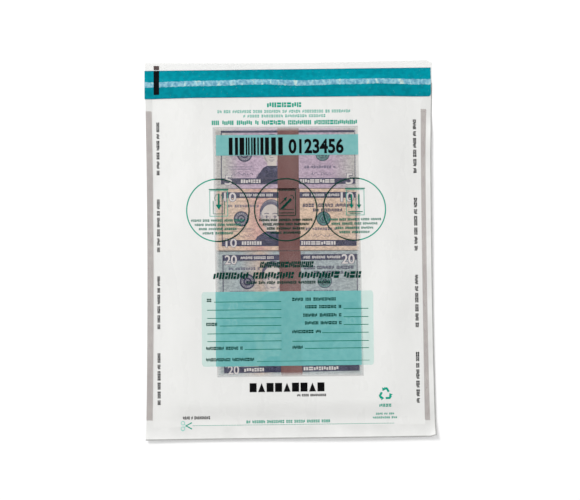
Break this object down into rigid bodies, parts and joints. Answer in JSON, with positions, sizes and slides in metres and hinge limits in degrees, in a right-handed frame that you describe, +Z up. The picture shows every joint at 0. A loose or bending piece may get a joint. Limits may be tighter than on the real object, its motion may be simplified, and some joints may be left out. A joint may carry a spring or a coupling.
{
  "type": "cash deposit bag",
  "caption": "Flat clear film deposit bag with welded seams, an adhesive tape flap over its mouth and banded banknotes sliding inside.",
  "frame": {"origin": "middle of the bag's rectangle, on the underside of the back film", "axes": "+X across the bag, +Y towards the closure tape, +Z up through the films"},
  "size_m": [0.312, 0.406, 0.0054],
  "materials": {
    "clear_film": "clear, slightly hazy film with a soft gloss",
    "weld_film": "welded double film with a printed security hatch",
    "teal_tape": "glossy printed tape",
    "tape_glue": "tacky adhesive layer",
    "liner": "siliconed white paper",
    "fives_print": "banknote paper, purple and grey print",
    "tens_print": "banknote paper, peach print",
    "twenties_print": "banknote paper, green and grey print",
    "kraft_band": "brown kraft paper band"
  },
  "bodies": {
    "bag": {"back_film": "clear_film", "front_film": "clear_film", "left_side_seal": "weld_film", "right_side_seal": "weld_film", "bottom_seal": "weld_film", "tape_anchor": "teal_tape", "anchor_adhesive": "tape_glue"},
    "flap": {"closure_flap": "teal_tape", "flap_adhesive": "tape_glue"},
    "liner": {"release_liner": "liner"},
    "fives": {"fives_packet": "fives_print", "fives_band": "kraft_band"},
    "tens": {"tens_packet": "tens_print", "tens_band": "kraft_band"},
    "upper_twenties": {"upper_twenties_packet": "twenties_print", "upper_twenties_band": "kraft_band"},
    "lower_twenties": {"lower_twenties_packet": "twenties_print", "lower_twenties_band": "kraft_band"}
  },
  "joints": [
    {"name": "flap_hinge", "type": "hinge", "parent": "bag", "child": "flap", "pos_m": [0, 0.1895, 0.0003], "axis": [-1, 0, 0], "range_deg": [0, 140]},
    {"name": "liner_peel", "type": "slide", "parent": "flap", "child": "liner", "axis": [0, -1, 0], "range_m": [0, 0.016]},
    {"name": "fives_slide", "type": "slide", "parent": "bag", "child": "fives", "axis": [0, 1, 0], "range_m": [0, 0.042]},
    {"name": "tens_slide", "type": "slide", "parent": "bag", "child": "tens", "axis": [1, -0.007, 0], "range_m": [-0.012, 0.012]},
    {"name": "upper_twenties_slide", "type": "slide", "parent": "bag", "child": "upper_twenties", "axis": [1, 0, 0], "range_m": [-0.012, 0.012]},
    {"name": "lower_twenties_slide", "type": "slide", "parent": "bag", "child": "lower_twenties", "axis": [0, -1, 0], "range_m": [0, 0.024]}
  ]
}
